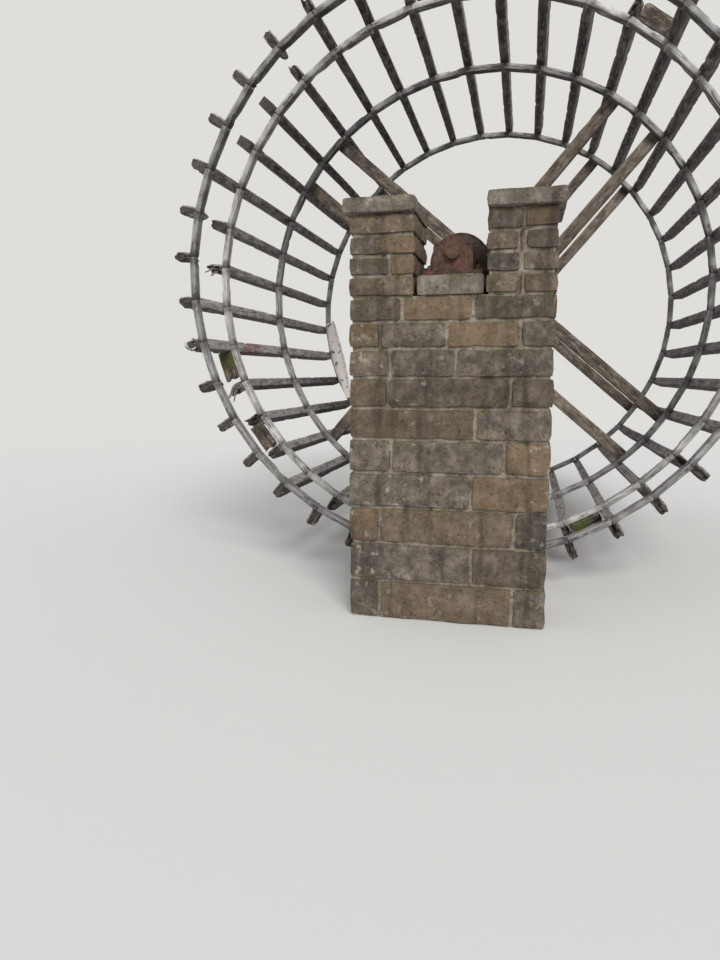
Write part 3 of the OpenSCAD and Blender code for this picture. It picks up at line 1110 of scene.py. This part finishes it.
# %% Bolts
SUNK = 0.002
FLANGE_THICK, FLANGE_BOLTS, FLANGE_REACH = 0.025, 6, 0.12
FLANGE_TURN = 0.2
FOOT_INSET, FOOT_UP = 0.035, 0.05
CAP_INSET, CAP_UP = 0.026, 0.045
BEARING_END = 0.05
ARM_SEED, BEARING_SEED, FLANGE_SEED = 9, 10, 11


def arm_offset(k):
    """How far the middle of an arm stands from the axle's middle."""
    across = spoke(ARM_TURNS["rising"])[1]
    corners = [(p - HUB).dot(across) for points in solids(f"arms_{k}_rising") for p in points]
    return (max(corners) + min(c for c in corners if c > 0)) / 2


def crossing_places():
    """Both faces of the four crossings at each ring."""
    rising, falling = (spoke(ARM_TURNS[name])[0] for name in ("rising", "falling"))
    for k in ARM_RINGS:
        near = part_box(f"arms_{k}_falling")[0].y + SUNK
        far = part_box(f"arms_{k}_rising")[1].y - SUNK
        reach = arm_offset(k)
        for a in (-1, 1):
            for b in (-1, 1):
                at = HUB + rising * a * reach + falling * b * reach
                yield Vector((at.x, near, at.z)), -ALONG
                yield Vector((at.x, far, at.z)), ALONG


def bearing_places():
    """Four bolts in the foot of each bearing and four in its cap."""
    for end in ("near", "far"):
        for node, inset, up in ((f"bearing_{end}", FOOT_INSET, FOOT_UP),
                                (f"bearing_cap_{end}", CAP_INSET, CAP_UP)):
            low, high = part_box(node)
            for x in (low.x + inset, high.x - inset):
                for y in (low.y + BEARING_END, high.y - BEARING_END):
                    yield Vector((x, y, low.z + up)), UP


def flange_places():
    """A ring of bolts in the flange at each end of the axle."""
    low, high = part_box("axle")
    for way, face in ((-ALONG, low.y - FLANGE_THICK), (ALONG, high.y + FLANGE_THICK)):
        for n in range(FLANGE_BOLTS):
            outwards, _ = spoke(n * math.tau / FLANGE_BOLTS + FLANGE_TURN)
            at = HUB + outwards * FLANGE_REACH
            yield Vector((at.x, face, at.z)), way


bolts("arm_bolts", "wheel", crossing_places(), ARM_SEED, (-0.4, 0.4), washer=True)
bolts("bearing_bolts", "supports", bearing_places(), BEARING_SEED, (0, 1))
bolts("flange_bolts", "wheel", flange_places(), FLANGE_SEED, (-0.4, 0.4))

# %% [markdown]
# The piers are local stone: large squared blocks at the foot and smaller ones above, in lime
# mortar. Each block is made as a stone, laid in courses that break joint and wrap the corners,
# round a core of mortar that shows in the joints. The stone has a grain of 3 to 8 mm, pits of 10 to
# 30 mm, patches of lichen and dark weather stains, and each block its own tone.

# %% Stone and mortar
STONE_SIZES = [(0.11, 7, 0.72), (0.028, 5, 0.7), (0.007, 3, 0.6), ((0.09, 0.09, 0.9), 3, 0.5),
               (0.075, 5, 0.62), (0.4, 4, 0.6), (0.02, 2, 0.8), (0.5, 1, 0.6), (0.09, 5, 0.65)]
WARM, RUN_DARK, PIT_DARK = "#7d6449", "#332d29", "#2f2925"
STONE_LICHEN, OCHRE_LICHEN = "#aca899", "#a8843c"
STONE_MOSS_DARK, STONE_MOSS_LIGHT = "#2f3818", "#5f6a31"


def weathered_stone(name, light, mid, dark):
    """Quarried stone or lime mortar, dressed by hand and weathered in the open."""
    material = bpy.data.materials.new(name)
    add = emptied(material)
    (clouds, pits, grit, runs, lichen_spots, lichen_areas, ochre_spots, ochre_areas,
     moss_areas) = patterns(add, add("TexCoord", output="Object"), STONE_SIZES)
    tone, warm, sky = (add("Attribute", attribute_name=kind, output="Fac")
                       for kind in ("tone", "brown", "sky"))
    stone = add("ValToRGB", {"Fac": clouds}, stops=[(0.3, dark), (0.48, mid), (0.66, light)])
    stone = lay_over(add, stone, WARM, 0.6, (warm, 0, 1))
    stone = lay_over(add, stone, RUN_DARK, 0.6, (runs, 0.52, 0.68))
    stone = lay_over(add, stone, PIT_DARK, 0.65, (pits, 0.46, 0.34))
    stone = lay_over(add, stone, STONE_LICHEN, 1, (lichen_spots, 0.57, 0.65),
                     (lichen_areas, 0.42, 0.58), (pits, 0.35, 0.6, 0.2, 0.7))
    stone = lay_over(add, stone, OCHRE_LICHEN, 0.8, (ochre_spots, 0.66, 0.7),
                     (ochre_areas, 0.5, 0.6))
    green = lay_over(add, STONE_MOSS_DARK, STONE_MOSS_LIGHT, 1, (grit, 0.35, 0.65))
    stone = lay_over(add, stone, green, 0.85, (sky, 0.2, 0.8, 0.12, 1), (moss_areas, 0.5, 0.62))
    stone = tone_and_painted_shade(add, stone, tone)
    grains = lay_over(add, "#1d1a18", "#ffffff", 1, (grit, 0, 1))
    stone = add("Mix", {0: 0.35, 6: stone, 7: grains}, output=2, data_type="RGBA",
                blend_type="OVERLAY")
    height = add("Math", {0: clouds, 1: pits}, operation="ADD")
    height = add("Math", {0: height, 1: 2.0, 2: grit}, operation="MULTIPLY_ADD")
    return finished(material, add, stone, height, 0.93, (0.8, 0.006), specular=0.3)


RUBBLE = weathered_stone("weathered rubble stone", "#85796c", "#625950", "#3f3832")
DRESSED = weathered_stone("roughly dressed stone", "#948a7d", "#71685e", "#4e4740")
MORTAR = weathered_stone("old lime mortar", "#a99e90", "#8b8072", "#5f564c")

# %% [markdown]
# A block of stone starts as the same grid box as a board. Its corners are drawn in to a small
# radius and its faces are moved by noise, as a hammer leaves them. A subdivision modifier would
# round it more smoothly, but a hammered block shouldn't look smooth.

# %% Stone block
ROUNDING = 0.022
STONE_CELL, MOST_CELLS = 0.055, 12
KNOCK_WAVES, CHIP_WAVES = 8, 19


def lay_stone(piece, block, middle, tone, warm):
    """Writes the marks of a stone or of mortar and joins it to a piece in its place."""
    for name, value in (("tone", tone), ("brown", warm), ("sky", 0.0)):
        layer = block.verts.layers.float.new(name)
        for vert in block.verts:
            vert[layer] = value
    for face in block.faces:
        face.smooth = True
    place(piece, block, Matrix.Translation(middle))


def stone(piece, low, high, seed, rough=0.009, tone=1.0, warm=0.0):
    """One block that fills a box: arrises rounded, faces knocked about, a tone of its own."""
    size = high - low
    half = size / 2
    block = grid_box([max(2, min(MOST_CELLS, round(side / STONE_CELL))) for side in size])
    rounding = min(ROUNDING, 0.4 * min(half))
    shift = Vector([random.Random(seed).uniform(0, 90) for _ in range(3)])
    for vert in block.verts:
        crowded = [math.copysign(1 - (1 - min(1.0, abs(2 * c))) ** 1.4, c) for c in vert.co]
        spot = Vector([c * h for c, h in zip(crowded, half)])
        core = Vector([max(rounding - h, min(h - rounding, c)) for c, h in zip(spot, half)])
        out = spot - core
        if out.length > TOUCHING:
            out.normalize()
            spot = core + out * rounding
            knocked = noise.noise(spot * KNOCK_WAVES + shift)
            knocked += 0.7 * noise.noise(spot * CHIP_WAVES + shift)
            spot -= out * rough * (0.2 + knocked)
        vert.co = spot
    lay_stone(piece, block, (low + high) / 2, tone, warm)


# %% [markdown]
# A course is laid as a mason lays it. Blocks of uneven length run along both long faces, and at
# every second course the end blocks go right through, so that the corners are bonded.

# %% Courses
JOINT = 0.016
BED_DEPTH = 0.24
END_BLOCK = 0.2
THROUGH_BLOCK = (0.22, 0.32)
DENTS = (0.001, 0.009)
BED_JOINTS = (0.6, 1.2)
STONE_TONES = (0.72, 1.18)
WARMTHS = (0, 0, 0.2, 0.5, 0.9)


def lengths(total, shortest, longest, luck):
    """Uneven block lengths that add up to a total."""
    parts = []
    while sum(parts) < total - shortest:
        parts.append(luck.uniform(shortest, longest))
    scale = total / sum(parts) if parts else 1
    return [part * scale for part in parts] or [total]


def plan_course(low, high, block_range, through, luck):
    """The plan of a course: for each block its nearest and furthest x and y."""
    start, end = low.x, high.x
    plan = []
    if through:
        wide = luck.uniform(*THROUGH_BLOCK)
        start, end = low.x + wide, high.x - wide
        plan += [((low.x, low.y), (start, high.y)), ((end, low.y), (high.x, high.y))]
    for near, far in ((low.y, low.y + BED_DEPTH), (high.y - BED_DEPTH, high.y)):
        x = start
        for length in lengths(end - start, *block_range, luck):
            plan.append(((x, near), (x + length, far)))
            x += length
    if not through:
        for x in (low.x, high.x - END_BLOCK):
            plan.append(((x, low.y + BED_DEPTH), (x + END_BLOCK, high.y - BED_DEPTH)))
    return plan


def lay_course(piece, low, high, block_range, through, seed):
    """Sets a stone in each place of the plan. Outer faces stand in by uneven dents, and the others
    by half a joint."""
    luck = random.Random(seed)
    gap = JOINT / 2
    for n, (a, b) in enumerate(plan_course(low, high, block_range, through, luck)):
        dents = [luck.uniform(*DENTS) for _ in range(4)]
        first = Vector((a[0] + (dents[0] if a[0] == low.x else gap),
                        a[1] + (dents[1] if a[1] == low.y else gap),
                        low.z + gap * luck.uniform(*BED_JOINTS)))
        last = Vector((b[0] - (dents[2] if b[0] == high.x else gap),
                       b[1] - (dents[3] if b[1] == high.y else gap),
                       high.z - gap * luck.uniform(*BED_JOINTS)))
        stone(piece, first, last, seed * 50 + n, tone=luck.uniform(*STONE_TONES),
              warm=luck.choice(WARMTHS))


# %% [markdown]
# Courses are about 290 mm high at the foot of a pier and 170 mm at its shoulders, and 140 mm in the
# two cheeks beside the bearing. The body is laid first, then the cheeks. The core of mortar stands
# 28 mm behind the faces.

# %% Piers
LOWEST_COURSE, TOP_COURSE, CHEEK_COURSE = 0.29, 0.17, 0.14
CORE_INSET, CORE_CELL = 0.028, 0.06
MORTAR_DENT, MORTAR_WAVES = 0.007, 12


def course_levels(bottom, top, first, last):
    """Heights of the joints from bottom to top, the courses shrinking evenly from first to last."""
    count = round(2 * (top - bottom) / (first + last))
    heights = [first + (last - first) * n / max(1, count - 1) for n in range(count)]
    scale = (top - bottom) / sum(heights)
    levels = [bottom]
    for height in heights:
        levels.append(levels[-1] + height * scale)
    return levels


def lay_block(piece, low, high, courses, longest, stretch, seed):
    """Courses from the bottom of a box to its top. Stretch is the longest block for its height."""
    levels = course_levels(low.z, high.z, *courses)
    for n, (z0, z1) in enumerate(zip(levels, levels[1:])):
        tall = z1 - z0
        lay_course(piece, Vector((low.x, low.y, z0)), Vector((high.x, high.y, z1)),
                   (1.1 * tall, min(longest, stretch * tall)), n % 2 == 0, seed + n)


def mortar_core(piece, low, high, seed):
    size = high - low - Vector((2, 2, 0)) * CORE_INSET
    core = grid_box([max(2, round(side / CORE_CELL)) for side in size])
    shift = Vector((seed, 3, 7))
    for vert in core.verts:
        out = Vector([math.copysign(1, c) if abs(c) > 0.4999 else 0 for c in vert.co])
        out.z = 0
        spot = Vector([c * s for c, s in zip(vert.co, size)])
        vert.co = spot + out * MORTAR_DENT * noise.noise(spot * MORTAR_WAVES + shift)
    lay_stone(piece, core, (low + high) / 2, 1.0, 0.1)


def pier(end, seed):
    low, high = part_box(f"pier_{end}")
    slot_low, slot_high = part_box(f"bed_stone_{end}")
    floor = slot_low.z
    body = ((LOWEST_COURSE, TOP_COURSE), 1.2, 4.2)
    cheek = ((CHEEK_COURSE, CHEEK_COURSE), 0.36, 2.8)
    blocks = ((low, Vector((high.x, high.y, floor)), body, seed),
              (Vector((low.x, low.y, floor)), Vector((slot_low.x, high.y, high.z)), cheek,
               seed + 40),
              (Vector((slot_high.x, low.y, floor)), high, cheek, seed + 60))
    stones, core = bmesh.new(), bmesh.new()
    for block_low, block_high, way_of_laying, block_seed in blocks:
        lay_block(stones, block_low, block_high, *way_of_laying, block_seed)
        mortar_core(core, block_low, block_high, block_seed)
    nodes = [f"pier_{end}"]
    show(stones, f"pier_stones_{end}", "supports", (RUBBLE,), nodes)
    show(core, f"pier_mortar_{end}", "supports", (MORTAR,), nodes)


pier("near", 100)
pier("far", 300)

# %% [markdown]
# The bearing stands on one bed stone set in the slot, and rough slabs cap the cheeks. These were
# dressed with a point, so they are flatter than the rubble and lighter.

# %% Bed stones and copings
SLAB_INSET = Vector((0.003, 0.003, 0.0))


def slabs(end, seed):
    bed = bmesh.new()
    low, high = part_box(f"bed_stone_{end}")
    stone(bed, low + SLAB_INSET, high - SLAB_INSET, seed, rough=0.004)
    show(bed, f"bed_slab_{end}", "supports", (DRESSED,), [f"bed_stone_{end}"])
    copings = bmesh.new()
    for n, points in enumerate(solids(f"copings_{end}")):
        low = Vector([min(p[axis] for p in points) for axis in range(3)])
        high = Vector([max(p[axis] for p in points) for axis in range(3)])
        stone(copings, low + SLAB_INSET, high - SLAB_INSET, seed + 5 + n, rough=0.007,
              tone=1.02 + 0.05 * n)
    show(copings, f"coping_slabs_{end}", "supports", (DRESSED,),
         [f"copings_{end}"])


slabs("near", 11)
slabs("far", 21)
